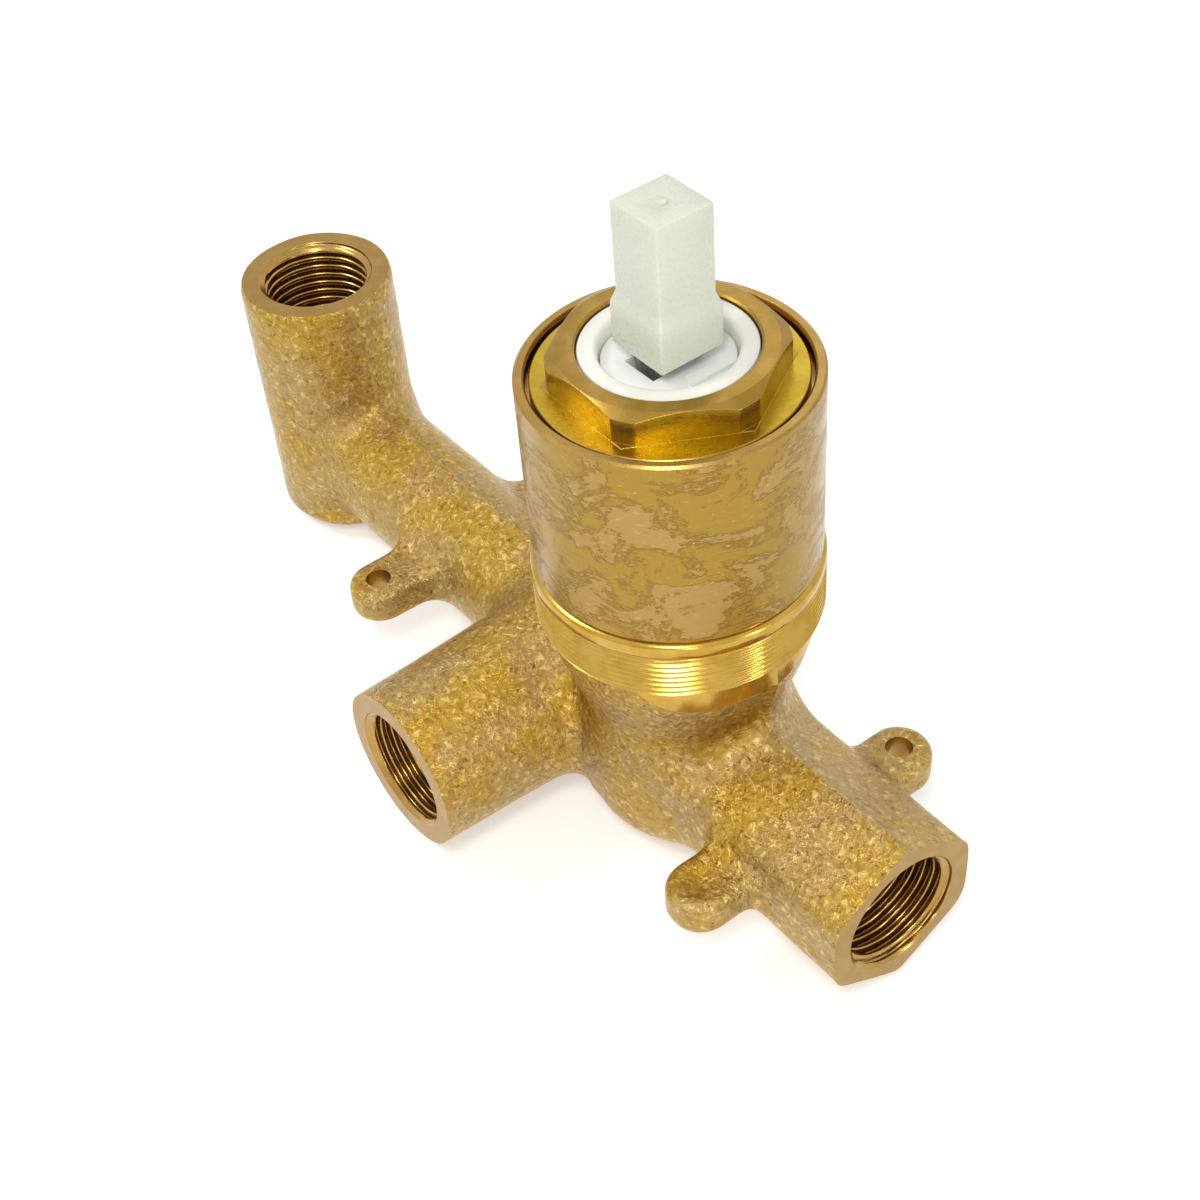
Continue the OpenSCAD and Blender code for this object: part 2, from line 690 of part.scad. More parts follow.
// Carrier: grips the moving disc, and slides between the guide's rails with the lever's ball end
module disc_carrier() {
    groove_in = window_d / 2 + seal_w / 4;
    pocket_low = carrier_low + 0.6;
    color("lightgray") difference() {
        union() {
            translate([0, 0, carrier_low - skirt_h]) cylinder(r = carrier_r, h = skirt_h + carrier_t);
            translate([-block_x / 2, -block_y / 2, carrier_top - cut]) cube([block_x, block_y, block_h + cut]);
        }
        translate([0, 0, carrier_low - skirt_h - cut]) cylinder(r = moving_disc_r + close_fit, h = skirt_h + cut);
        translate([0, window_y, 0])
            ring(groove_in + seal_w, groove_in, carrier_low - cut, carrier_low + seal_h);
        translate([0, 0, pocket_low]) cylinder(d = ball_d + 2 * ball_gap, h = carrier_t + block_h + cut);
    }
}

// Thin low-friction ring between the guide's flange and the housing roof
module slide_ring() {
    color("snow")
        ring(guide_flange_r - guide_gap, neck_bore_r + drum_gap, roof_z - slide_ring_t, roof_z);
}

// White guide that turns in the neck, carries the pin and steers the carrier with two rails
module lever_guide() {
    drum_r = neck_bore_r - drum_gap;
    rail_x = block_x / 2 + guide_gap / 2;
    rail_l = block_y + 2 * guide_flange_t;
    rail_low = carrier_top + guide_gap;
    tab_r = chamber_r - guide_gap;
    color("white") difference() {
        union() {
            translate([0, 0, flange_low]) cylinder(r = guide_flange_r, h = guide_flange_t);
            translate([0, 0, flange_low]) cylinder(r = drum_r, h = guide_top - flange_low);
            rotate([0, 0, 90 - stop_tab_angle / 2]) rotate_extrude(angle = stop_tab_angle)
                translate([guide_flange_r - cut, flange_low]) square([tab_r - guide_flange_r + cut, guide_flange_t]);
            for (side = [-1, 1]) translate([side * (rail_x + rail_w / 2) - rail_w / 2, -rail_l / 2, rail_low])
                cube([rail_w, rail_l, flange_low - rail_low + cut]);
        }
        translate([-lever_slot_w / 2, -lever_slot_l / 2, flange_low - cut])
            cube([lever_slot_w, lever_slot_l, guide_top - flange_low + 2 * cut]);
        translate([-neck_bore_r, 0, pin_z]) rotate([0, 90, 0]) cylinder(d = pin_d, h = 2 * neck_bore_r);
    }
}

module lever_pin() {
    color("silver") translate([-pin_len / 2, 0, pin_z]) rotate([0, 90, 0]) cylinder(d = pin_d, h = pin_len);
}

// Steel lever: ball end, round shaft, boss on the pin and square tongue for the stem
module cartridge_lever() {
    color("silver") difference() {
        union() {
            translate([0, 0, ball_z]) intersection() {
                sphere(d = ball_d);
                translate([0, 0, -ball_h / 2]) cylinder(d = ball_d, h = ball_h);
            }
            translate([0, 0, ball_z]) cylinder(d = shaft_d, h = lever_arm);
            translate([-tongue_x / 2, 0, pin_z]) rotate([0, 90, 0]) cylinder(d = boss_d, h = tongue_x);
            translate([-tongue_x / 2, -tongue_y / 2, pin_z]) cube([tongue_x, tongue_y, tongue_h]);
        }
        translate([-tongue_x / 2 - cut, 0, pin_z]) rotate([0, 90, 0])
            cylinder(r = pin_d / 2 + pin_clearance, h = tongue_x + 2 * cut);
    }
}

// White square stem that is pushed over the lever's tongue
module stem_extension() {
    foot_low = neck_top - foot_drop;
    top_z = neck_top + stem_top;
    color("honeydew") difference() {
        union() {
            intersection() {
                translate([-foot_w / 2, -foot_w / 2, foot_low]) cube([foot_w, foot_w, foot_h]);
                // Pyramid that takes the chamfer off the lower edge
                translate([0, 0, foot_low]) rotate([0, 0, 45])
                    cylinder(r1 = foot_w / sqrt(2) - foot_chamfer * sqrt(2),
                        r2 = foot_w / sqrt(2) + (foot_h - foot_chamfer) * sqrt(2), h = foot_h, $fn = 4);
            }
            translate([-stem_w / 2, -stem_w / 2, foot_low + cut]) cube([stem_w, stem_w, top_z - foot_low - cut]);
            translate([0, 0, top_z - cut]) cylinder(d = gate_d, h = cut + 0.2);
        }
        translate([-tongue_x / 2 - close_fit, -tongue_y / 2 - close_fit, foot_low - cut])
            cube([tongue_x + 2 * close_fit, tongue_y + 2 * close_fit, pin_z + tongue_h - foot_low + cut + close_fit]);
    }
}

// Lifts the model so that the bowl's flat back lies in the XY plane
module placed() {
    translate([0, 0, bowl_depth]) children();
}

placed() valve_body();
placed() cartridge_nut();
placed() cartridge_housing();
placed() cartridge_base();
placed() hot_inlet_seal();
placed() cold_inlet_seal();
placed() outlet_seal();
placed() hot_disc_seal();
placed() cold_disc_seal();
placed() outlet_disc_seal();
placed() fixed_disc();
placed() moving_disc();
placed() carrier_seal();
placed() disc_carrier();
placed() slide_ring();
placed() lever_guide();
placed() lever_pin();
placed() cartridge_lever();
placed() stem_extension();
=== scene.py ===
"""Looks of a concealed basin mixer body: a rough brass casting with turned and threaded faces."""

import math

import bpy
import numpy as np
from mathutils import Matrix, Vector


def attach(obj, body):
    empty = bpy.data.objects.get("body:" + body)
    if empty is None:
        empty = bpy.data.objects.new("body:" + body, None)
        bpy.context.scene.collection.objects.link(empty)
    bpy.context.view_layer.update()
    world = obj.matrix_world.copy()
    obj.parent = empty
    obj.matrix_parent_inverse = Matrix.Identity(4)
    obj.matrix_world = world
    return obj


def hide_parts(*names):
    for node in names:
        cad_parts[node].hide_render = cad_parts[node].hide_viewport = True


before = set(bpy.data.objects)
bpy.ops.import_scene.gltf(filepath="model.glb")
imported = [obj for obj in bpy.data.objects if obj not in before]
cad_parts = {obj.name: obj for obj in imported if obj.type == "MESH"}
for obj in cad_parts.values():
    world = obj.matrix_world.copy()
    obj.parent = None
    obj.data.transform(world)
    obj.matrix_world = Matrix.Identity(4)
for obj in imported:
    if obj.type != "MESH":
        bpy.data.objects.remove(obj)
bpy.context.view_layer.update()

MM = 0.001
# Heights in this script count from the arm axis in millimetres, as in the part's source.
ARM_AXIS_Z = 17.0
LIFT = Vector((0, 0, ARM_AXIS_Z))

# Main sizes in millimetres, the same as in the part's source.
TOWER_R = 22.05
TOWER_TOP = 74.0
RING_R = 22.5
RING_LOW, RING_HIGH = 30.65, 41.0
GROOVE_R = 21.6
RELIEF_R, RELIEF_LOW = 21.7, 26.05
BOWL_R, BOWL_Z, BOWL_LOW = 22.5, 32.7, -17.0
COLUMN_R, BOWL_EDGE_R = 16.5, 10.5
RIGHT_FACE = 50.8
FRONT_FACE, FRONT_X = 41.8, -23.4
FRONT_R, FRONT_DRAFT = 14.05, 0.03
ARM_SLANT, ARM_SIDE, ARM_RIDGE = 12.7, 13.7, 14.15
LEFT_R = 11.6
POST_X, POST_R, POST_TOP, POST_LOW, FOOT_EDGE = -106.4, 14.15, 36.5, -15.2, 3.2
LUG_X, LUG_Y, LUG_R, LUG_HALF, LUG_EDGE = (-61.5, 28.5), 20.8, 5.4, 3.2, 1.6
LUG_HOLE_R = 2.25
PARTING_H = 0.8
PORT_MINOR, PORT_MAJOR, PORT_PITCH = 9.3155, 10.4775, 1.814
PORT_MOUTH_R, PORT_LEN, PASSAGE_R = 10.6, 15.0, 6.0
SEAT_Z = 41.0
CAVITY_R = 17.7
NUT_THREAD_R = 19.05
RECESS_R, RECESS_DEPTH = 20.4, 3.0
ROOF_Z = 63.04
WAYS = ((-7.0, -6.5, 3.25), (7.0, -6.5, 3.25), (0.0, 8.0, 4.0))


# Distance fields


def smooth_min(a, b, k):
    """Union of two distance fields with a hollow corner about k wide."""
    h = np.clip(0.5 + 0.5 * (b - a) / k, 0.0, 1.0)
    return b + (a - b) * h - k * h * (1.0 - h)


def smooth_max(a, b, k):
    """Intersection of two distance fields with a rounded corner about k wide."""
    return -smooth_min(-a, -b, k)


def capped(radial, along, r, half, edge=0.0):
    """Round bar of radius r and half length half, with rounded rims."""
    dr = radial - (r - edge)
    da = np.abs(along) - (half - edge)
    outside = np.sqrt(np.maximum(dr, 0) ** 2 + np.maximum(da, 0) ** 2)
    return np.minimum(np.maximum(dr, da), 0) + outside - edge


def box2(u, v, half_u, half_v, edge):
    """Rounded rectangle in two axes."""
    du = np.abs(u) - (half_u - edge)
    dv = np.abs(v) - (half_v - edge)
    outside = np.sqrt(np.maximum(du, 0) ** 2 + np.maximum(dv, 0) ** 2)
    return np.minimum(np.maximum(du, dv), 0) + outside - edge


def smooth_step(t):
    t = np.clip(t, 0.0, 1.0)
    return t * t * (3.0 - 2.0 * t)


def bowl_field(x, y, z):
    """Sphere under the tower on a column with a rounded bottom, a little lean on its front left."""
    around = np.degrees(np.arctan2(y, x))
    lean = 1.1 * smooth_step(1.6 - np.abs(around + 105.0) / 45.0)
    lean = lean + 1.0 * smooth_step(1.4 - np.abs(around - 75.0) / 55.0)
    ball = np.sqrt(x * x + y * y + (z - BOWL_Z) ** 2) - BOWL_R + lean
    ball = np.maximum(ball, z - BOWL_Z - 1.0)
    mid = (BOWL_Z + BOWL_LOW) / 2
    column = capped(np.sqrt(x * x + y * y), z - mid, COLUMN_R, (BOWL_Z - BOWL_LOW) / 2, BOWL_EDGE_R)
    return smooth_min(ball, column, 7.0)


def right_arm_field(x, y, z):
    """Six-sided arm with rounded corners, cut square at both ends."""
    tilt = math.radians(30.0)
    slant = np.abs(y) * math.sin(tilt) + np.abs(z) * math.cos(tilt) - ARM_SLANT
    side = np.abs(y) - ARM_SIDE
    rim = np.sqrt(y * y + z * z) - ARM_RIDGE - 0.35
    section = smooth_max(smooth_max(slant, side, 1.6), rim, 0.8)
    return smooth_max(section, np.abs(x - RIGHT_FACE / 2) - RIGHT_FACE / 2 - 1.6, 0.4)


def left_arm_field(x, y, z):
    radial = np.sqrt(y * y + z * z)
    return capped(radial, x - POST_X / 2, LEFT_R, -POST_X / 2)


def post_field(x, y, z):
    """Upright outlet, longer at its top by what the machined face takes off."""
    low, high = POST_LOW, POST_TOP + 1.6
    radial = np.sqrt((x - POST_X) ** 2 + y * y)
    return capped(radial, z - (low + high) / 2, POST_R, (high - low) / 2, FOOT_EDGE)


def front_field(x, y, z):
    radial = np.sqrt((x - FRONT_X) ** 2 + z * z)
    r = FRONT_R + FRONT_DRAFT * (FRONT_FACE + np.minimum(y, 0.0))
    return np.maximum(radial - r, np.abs(y + (FRONT_FACE + 1.6) / 2) - (FRONT_FACE + 1.6) / 2)


def lug_field(x, y, z, centre, side):
    """Flat tongue with a round tip and rounded edges, a little thicker towards the arm."""
    reach = np.clip(y * side, 0.0, LUG_Y)
    plan = np.sqrt((x - centre) ** 2 + (y * side - reach) ** 2)
    root = smooth_step((16.5 - y * side) / 6.0)
    half = LUG_HALF + 0.5 * root
    dr = plan - (LUG_R + 0.6 * root - LUG_EDGE)
    da = np.abs(z) - (half - LUG_EDGE)
    outside = np.sqrt(np.maximum(dr, 0) ** 2 + np.maximum(da, 0) ** 2)
    return np.minimum(np.maximum(dr, da), 0) + outside - LUG_EDGE


def waves(x, y, z, length, seed):
    """Cheap smooth unevenness between -1 and 1, from a few crossed sines."""
    rng = np.random.default_rng(seed)
    total = np.zeros_like(x)
    for _ in range(5):
        d = rng.normal(size=3)
        d /= np.linalg.norm(d)
        k = 2 * math.pi / (length * rng.uniform(0.7, 1.5))
        total += np.sin(k * (d[0] * x + d[1] * y + d[2] * z) + rng.uniform(0, 6.28))
    return total / 5.0


def parting_ridge(x, y, z):
    """Thin ridge that the two mould halves leave on the y = 0 plane, along the top of the arms and up the post."""
    right = smooth_step((x - 14.0) / 3.0)
    left = smooth_step((-24.0 - x) / 6.0) * smooth_step((POST_TOP - 2.0 - z) / 5.0)
    sharp = np.exp(-((y / 0.70) ** 2)) * right
    soft = np.exp(-((y / 0.95) ** 2)) * left
    return PARTING_H * (sharp + soft) * smooth_step((z + 1.0) / 3.0)


def casting_field(x, y, z):
    """Distance to the raw casting, before it is turned, bored and threaded."""
    arm = right_arm_field(x, y, z)
    d = smooth_min(bowl_field(x, y, z), arm, 6.5)
    d = smooth_min(d, front_field(x, y, z), 7.5)
    left = left_arm_field(x, y, z)
    d = smooth_min(d, left, 6.0)
    d = smooth_min(d, post_field(x, y, z), 4.5)
    d = d - parting_ridge(x, y, z)
    for centre in LUG_X:
        for side in (-1.0, 1.0):
            d = smooth_min(d, lug_field(x, y, z, centre, side), 3.6)
    # Blind dimples in the two lugs that aren't drilled
    for cx, cy in ((LUG_X[0], LUG_Y), (LUG_X[1], -LUG_Y)):
        dish = np.sqrt((x - cx) ** 2 + (y - cy) ** 2 + (z - LUG_HALF - 6.6) ** 2) - 7.3
        d = smooth_max(d, -dish, 0.8)
    # Hand-dressed, slightly uneven skin, with the bowl's flat back
    d = d + 0.10 * waves(x, y, z, 13.0, 4) + 0.05 * waves(x, y, z, 5.0, 9)
    d = np.maximum(d, POST_X - POST_R + 0.02 - x)
    return smooth_max(d, BOWL_LOW + 0.15 - z, 0.5)


# Meshing


def surface_net(field, low, high, step):
    """Quads of the zero surface of a field, sampled on a grid of that step."""
    axes = [np.arange(a, b + step, step, dtype=np.float32) for a, b in zip(low, high)]
    x, y, z = np.meshgrid(*axes, indexing="ij")
    v = field(x, y, z).astype(np.float32)
    inside = v < 0
    cells = tuple(n - 1 for n in v.shape)
    total = np.zeros(cells + (3,), np.float32)
    count = np.zeros(cells, np.float32)
    corner = [(i, j, k) for i in (0, 1) for j in (0, 1) for k in (0, 1)]
    window = lambda a, c: a[c[0] : c[0] + cells[0], c[1] : c[1] + cells[1], c[2] : c[2] + cells[2]]
    for axis in range(3):
        for c in corner:
            if c[axis]:
                continue
            e = list(c)
            e[axis] = 1
            a, b = window(v, c), window(v, e)
            crossed = (a < 0) != (b < 0)
            t = np.where(crossed, a / np.where(crossed, a - b, 1), 0)
            for k in range(3):
                total[..., k] += crossed * (c[k] + (t if k == axis else 0))
            count += crossed
    used = count > 0
    index = np.full(cells, -1, np.int64)
    index[used] = np.arange(used.sum())
    place = np.argwhere(used) + total[used] / count[used][:, None]
    points = np.array(low) + place * step
    # Points are pulled onto the true surface, twice
    for _ in range(2):
        p = [points[:, k].astype(np.float64) for k in range(3)]
        f = field(*p)
        h = step * 0.2
        g = np.stack([field(*[q + h * (k == m) for m, q in enumerate(p)]) - f for k in range(3)], 1) / h
        g /= np.maximum(np.linalg.norm(g, axis=1), 0.3)[:, None] ** 2
        move = np.clip(-f[:, None] * g, -0.6 * step, 0.6 * step)
        points = points + move
    quads = []
    for axis in range(3):
        u, w = [k for k in range(3) if k != axis]
        near = [slice(1, n - 1) for n in v.shape]
        near[axis] = slice(0, v.shape[axis] - 1)
        far = list(near)
        far[axis] = slice(1, v.shape[axis])
        a, b = inside[tuple(near)], inside[tuple(far)]
        where = np.argwhere(a != b)
        outward = a[tuple(where.T)]
        base = where.copy()
        base[:, u] += 1
        base[:, w] += 1
        ring = []
        for du, dw in ((0, 0), (-1, 0), (-1, -1), (0, -1)):
            q = base.copy()
            q[:, u] += du
            q[:, w] += dw
            ring.append(index[tuple(q.T)])
        ring = np.stack(ring, 1)
        flip = outward if axis != 1 else ~outward
        ring[~flip] = ring[~flip][:, ::-1]
        quads.append(ring)
    return points, np.concatenate(quads)


def make_mesh(name, points, faces, material=0):
    """Mesh object from points in millimetres above the arm axis."""
    mesh = bpy.data.meshes.new(name)
    co = (np.asarray(points, float) + np.array(LIFT)) * MM
    mesh.from_pydata(co.tolist(), [], [list(map(int, f)) for f in faces])
    mesh.update()
    obj = bpy.data.objects.new(name, mesh)
    bpy.context.scene.collection.objects.link(obj)
    if material is not None:
        for m in MATERIAL_ORDER:
            mesh.materials.append(m)
        mesh.polygons.foreach_set("material_index", [material] * len(mesh.polygons))
    return obj


def lathe(profile, turns=160, closed_axis=True):
    """Points and faces of a solid turned about Z from (radius, height) pairs, bottom to top."""
    angle = np.arange(turns) * 2 * math.pi / turns
    points, rows = [], []
    for r, h in profile:
        if r < 1e-6:
            rows.append([len(points)])
            points.append((0, 0, h))
        else:
            rows.append(list(range(len(points), len(points) + turns)))
            points += [(r * math.cos(a), r * math.sin(a), h) for a in angle]
    faces = bridge(rows, turns)
    return np.array(points, float), faces


def bridge(rows, turns):
    """Faces between neighbouring rings of points; a ring of one point closes to a fan."""
    faces = []
    for a, b in zip(rows, rows[1:]):
        for i in range(turns):
            j = (i + 1) % turns
            if len(a) == 1 and len(b) == 1:
                continue
            if len(a) == 1:
                faces.append((a[0], b[j], b[i]))
            elif len(b) == 1:
                faces.append((a[i], a[j], b[0]))
            else:
                faces.append((a[i], a[j], b[j], b[i]))
    return faces


def turned_field(rows_r, heights, turns):
    """Closed turned solid whose radius varies around it: rows_r[k] is the radius at each angle."""
    angle = np.arange(turns) * 2 * math.pi / turns
    points = [(0, 0, heights[0])]
    rows = [[0]]
    for r, h in zip(rows_r, heights):
        r = np.broadcast_to(r, (turns,))
        rows.append(list(range(len(points), len(points) + turns)))
        points += list(zip(r * np.cos(angle), r * np.sin(angle), np.full(turns, h)))
    rows.append([len(points)])
    points.append((0, 0, heights[-1]))
    return np.array(points, float), bridge(rows, turns)


def port_cutter(depth, passage_r, turns=112):
    """What the port's tools take away: face, mouth chamfer, G1/2 thread and passage. The face is z = 0, the bore runs down."""
    angle = np.arange(turns) * 2 * math.pi / turns
    thread_low = -PORT_LEN
    heights = [-depth, thread_low - 2.0]
    rows = [passage_r, passage_r]
    steps = 12
    fine = np.arange(thread_low, 0.0, PORT_PITCH / steps)
    for h in fine:
        phase = (h / PORT_PITCH - angle / (2 * math.pi)) % 1.0
        flank = np.clip(1.5 * (1.0 - np.abs(2 * phase - 1.0) * 1.33), 0.0, 1.0)
        form = smooth_step(flank)
        fade = smooth_step((h - thread_low) / PORT_PITCH)
        r = PORT_MINOR + (PORT_MAJOR - PORT_MINOR) * form * fade
        mouth = PORT_MOUTH_R + h
        heights.append(h)
        rows.append(np.maximum(r, mouth))
    heights += [0.0, 0.0, 6.0]
    rows += [PORT_MOUTH_R, 24.0, 24.0]
    return turned_field(rows, heights, turns)


def place(points, matrix, origin):
    return points @ np.array(matrix, float).T + np.array(origin, float)


def boolean(obj, other, how):
    """Applies a Boolean with the manifold solver and removes the tool."""
    mod = obj.modifiers.new("cut", "BOOLEAN")
    mod.operation, mod.object, mod.solver = how, other, "MANIFOLD"
    mod.material_mode = "TRANSFER"
    dg = bpy.context.evaluated_depsgraph_get()
    made = bpy.data.meshes.new_from_object(obj.evaluated_get(dg), depsgraph=dg)
    obj.modifiers.clear()
    old = obj.data
    obj.data = made
    bpy.data.meshes.remove(old)
    tool = other.data
    bpy.data.objects.remove(other)
    bpy.data.meshes.remove(tool)
    return obj


def soften(obj, angle=32.0, curved=()):
    """Smooth shading with sharp edges where faces meet at more than that angle, and more between faces of the curved slots."""
    mesh = obj.data
    mesh.shade_smooth()
    mesh.set_sharp_from_angle(angle=math.radians(angle))
    if not curved:
        return
    slots = np.zeros(len(mesh.polygons), np.int32)
    mesh.polygons.foreach_get("material_index", slots)
    loop_edge = np.zeros(len(mesh.loops), np.int32)
    mesh.loops.foreach_get("edge_index", loop_edge)
    sizes = np.zeros(len(mesh.polygons), np.int32)
    mesh.polygons.foreach_get("loop_total", sizes)
    normals = np.zeros(len(mesh.polygons) * 3, np.float32)
    mesh.polygons.foreach_get("normal", normals)
    normals = normals.reshape(-1, 3)
    face = np.repeat(np.arange(len(sizes)), sizes)
    order = np.argsort(loop_edge, kind="stable")
    edges, first, count = np.unique(loop_edge[order], return_index=True, return_counts=True)
    pair = count == 2
    a, b = face[order][first[pair]], face[order][first[pair] + 1]
    smooth = np.isin(slots[a], curved) & (slots[a] == slots[b]) & ((normals[a] * normals[b]).sum(1) > math.cos(math.radians(66)))
    sharp = mesh.attributes["sharp_edge"]
    values = np.zeros(len(mesh.edges), bool)
    sharp.data.foreach_get("value", values)
    values[edges[pair][smooth]] = False
    sharp.data.foreach_set("value", values)


# Materials


class Shader:
    """Small helper that writes a procedural material node by node."""

    def __init__(self, name):
        self.mat = bpy.data.materials.new(name)
        self.mat.use_nodes = True
        self.tree = self.mat.node_tree
        self.bsdf = self.tree.nodes["Principled BSDF"]
        coord = self.tree.nodes.new("ShaderNodeTexCoord")
        # Texture space in millimetres
        self.mm = self.vector("SCALE", coord.outputs["Object"], 1000.0)

    def link(self, value, socket):
        if isinstance(value, bpy.types.NodeSocket):
            self.tree.links.new(value, socket)
        else:
            socket.default_value = value

    def vector(self, operation, a, b):
        n = self.tree.nodes.new("ShaderNodeVectorMath")
        n.operation = operation
        self.link(a, n.inputs[0])
        self.link(b, n.inputs["Scale"] if operation == "SCALE" else n.inputs[1])
        return n.outputs[0]

    def noise(self, per_mm, detail=3.0, rough=0.55, distort=0.0, stretch=None):
        n = self.tree.nodes.new("ShaderNodeTexNoise")
        at = self.mm if stretch is None else self.vector("MULTIPLY", self.mm, stretch)
        self.link(at, n.inputs["Vector"])
        n.inputs["Scale"].default_value = per_mm
        n.inputs["Detail"].default_value = detail
        n.inputs["Roughness"].default_value = rough
        n.inputs["Distortion"].default_value = distort
        return n.outputs["Fac"]

    def cells(self, per_mm, feature="F1", rand=1.0):
        n = self.tree.nodes.new("ShaderNodeTexVoronoi")
        n.feature = feature
        self.link(self.mm, n.inputs["Vector"])
        n.inputs["Scale"].default_value = per_mm
        n.inputs["Randomness"].default_value = rand
        return n.outputs["Distance"]

    def ramp(self, value, low, high, out_low=0.0, out_high=1.0):
        n = self.tree.nodes.new("ShaderNodeMapRange")
        n.interpolation_type = "SMOOTHSTEP"
        self.link(value, n.inputs["Value"])
        for name, x in (("From Min", low), ("From Max", high), ("To Min", out_low), ("To Max", out_high)):
            n.inputs[name].default_value = x
        return n.outputs[0]

    def math(self, operation, a, b):
        n = self.tree.nodes.new("ShaderNodeMath")
        n.operation = operation
        self.link(a, n.inputs[0])
        self.link(b, n.inputs[1])
        return n.outputs[0]

    def mix(self, factor, a, b):
        n = self.tree.nodes.new("ShaderNodeMix")
        n.data_type = "RGBA"
        self.link(factor, n.inputs["Factor"])
        for value, socket in ((a, n.inputs["A"]), (b, n.inputs["B"])):
            self.link(value if isinstance(value, bpy.types.NodeSocket) else (*value, 1.0), socket)
        return n.outputs["Result"]

    def bump(self, height, depth_mm, before=None):
        n = self.tree.nodes.new("ShaderNodeBump")
        n.inputs["Strength"].default_value = 1.0
        n.inputs["Distance"].default_value = depth_mm * MM
        self.link(height, n.inputs["Height"])
        if before is not None:
            self.link(before, n.inputs["Normal"])
        return n.outputs["Normal"]

    def done(self, **inputs):
        for name, value in inputs.items():
            key = name.replace("_", " ").title().replace("Ior", "IOR")
            if isinstance(value, tuple) and len(value) == 3 and key.endswith("Color"):
                value = (*value, 1.0)
            self.link(value, self.bsdf.inputs[key])
        return self.mat


GOLD = (0.46, 0.285, 0.042)
DEEP_GOLD = (0.37, 0.21, 0.016)
TAN = (0.43, 0.285, 0.105)
PALE = (0.80, 0.60, 0.22)
UMBER = (0.13, 0.072, 0.012)


def cast_brass():
    """Sand-cast skin: grainy, with pale flecks, dark pits and glossier rubbed patches."""
    s = Shader("cast_brass_skin")
    broad = s.noise(0.07, 3.0)
    patch = s.noise(0.35, 4.0, 0.6)
    grain = s.noise(0.85, 5.0, 0.68, 0.5)
    fine = s.noise(3.2, 2.0, 0.6)
    pits = s.noise(1.7, 2.0, 0.5, 0.2)
    colour = s.mix(s.ramp(broad, 0.38, 0.62), TAN, GOLD)
    colour = s.mix(s.ramp(patch, 0.5, 0.68, 0.0, 0.6), colour, DEEP_GOLD)
    colour = s.mix(s.ramp(grain, 0.53, 0.65, 0.0, 0.70), colour, PALE)
    colour = s.mix(s.ramp(grain, 0.45, 0.34, 0.0, 0.45), colour, UMBER)
    colour = s.mix(s.ramp(pits, 0.34, 0.28, 0.0, 0.7), colour, UMBER)
    rough = s.ramp(s.math("ADD", s.math("MULTIPLY", patch, 0.6), s.math("MULTIPLY", grain, 0.4)), 0.35, 0.65, 0.16, 0.34)
    skin = s.bump(grain, 0.55)
    skin = s.bump(fine, 0.09, skin)
    skin = s.bump(s.ramp(pits, 0.28, 0.36), 0.10, skin)
    return s.done(base_color=colour, metallic=1.0, roughness=rough, normal=skin)


def turned_brass():
    """Turned tower: glossy gold with fine rings and ragged matt stains where it was handled."""
    s = Shader("turned_brass_stained")
    stain = s.noise(0.10, 7.0, 0.66, 0.7, (1.0, 1.0, 1.5))
    edge = s.noise(1.3, 5.0, 0.7, 0.0, (0.55, 0.55, 1.5))
    rings = s.noise(0.5, 2.0, 0.5, 0.0, (0.05, 0.05, 16.0))
    ragged = s.math("ADD", stain, s.math("MULTIPLY", edge, 0.24))
    mask = s.ramp(ragged, 0.625, 0.68)
    colour = s.mix(mask, (0.36, 0.222, 0.042), (0.415, 0.268, 0.085))
    colour = s.mix(s.ramp(edge, 0.58, 0.72, 0.0, 0.45), colour, PALE)
    rim = s.math("MULTIPLY", s.ramp(ragged, 0.585, 0.625), s.ramp(ragged, 0.67, 0.63))
    colour = s.mix(s.math("MULTIPLY", rim, 0.45), colour, (0.15, 0.085, 0.02))
    rough = s.math("ADD", s.ramp(mask, 0.0, 1.0, 0.17, 0.36), s.ramp(rings, 0.3, 0.7, 0.0, 0.08))
    lathe_marks = s.bump(rings, 0.03)
    film = s.bump(mask, 0.03, lathe_marks)
    return s.done(base_color=colour, metallic=1.0, roughness=rough, normal=film)


def machined_brass(name, colour_a, colour_b, rough_low, rough_high, mark=0.01, pitch=(8.0, 8.0, 8.0)):
    """Freshly cut brass: even colour with faint tool marks and a little tarnish."""
    s = Shader(name)
    tarnish = s.noise(0.22, 4.0, 0.6)
    marks = s.noise(0.6, 3.0, 0.6, 0.0, pitch)
    colour = s.mix(s.ramp(tarnish, 0.40, 0.66), colour_a, colour_b)
    rough = s.ramp(marks, 0.3, 0.7, rough_low, rough_high)
    return s.done(base_color=colour, metallic=1.0, roughness=rough, normal=s.bump(marks, mark))


def moulded_plastic(name, colour, shade, subsurface, rough, radius=(1.0, 1.0, 0.9), reach_mm=2.0):
    """Moulded plastic with a faint orange-peel skin and slightly uneven colour."""
    s = Shader(name)
    uneven = s.noise(0.12, 2.0)
    peel = s.noise(1.6, 2.0)
    tint = s.mix(s.ramp(uneven, 0.35, 0.65), colour, shade)
    s.bsdf.inputs["Subsurface Radius"].default_value = radius
    s.bsdf.inputs["Subsurface Scale"].default_value = reach_mm * MM
    return s.done(
        base_color=tint, roughness=s.ramp(peel, 0.3, 0.7, rough - 0.06, rough + 0.06),
        subsurface_weight=subsurface, ior=1.49, normal=s.bump(peel, 0.015),
    )


def plain_metal(name, colour, rough):
    s = Shader(name)
    marks = s.noise(0.8, 3.0, 0.6, 0.0, (1.0, 1.0, 6.0))
    tint = s.mix(s.ramp(marks, 0.3, 0.7), colour, tuple(0.85 * c for c in colour))
    return s.done(base_color=tint, metallic=1.0, roughness=s.ramp(marks, 0.3, 0.7, rough, rough + 0.15), normal=s.bump(marks, 0.01))


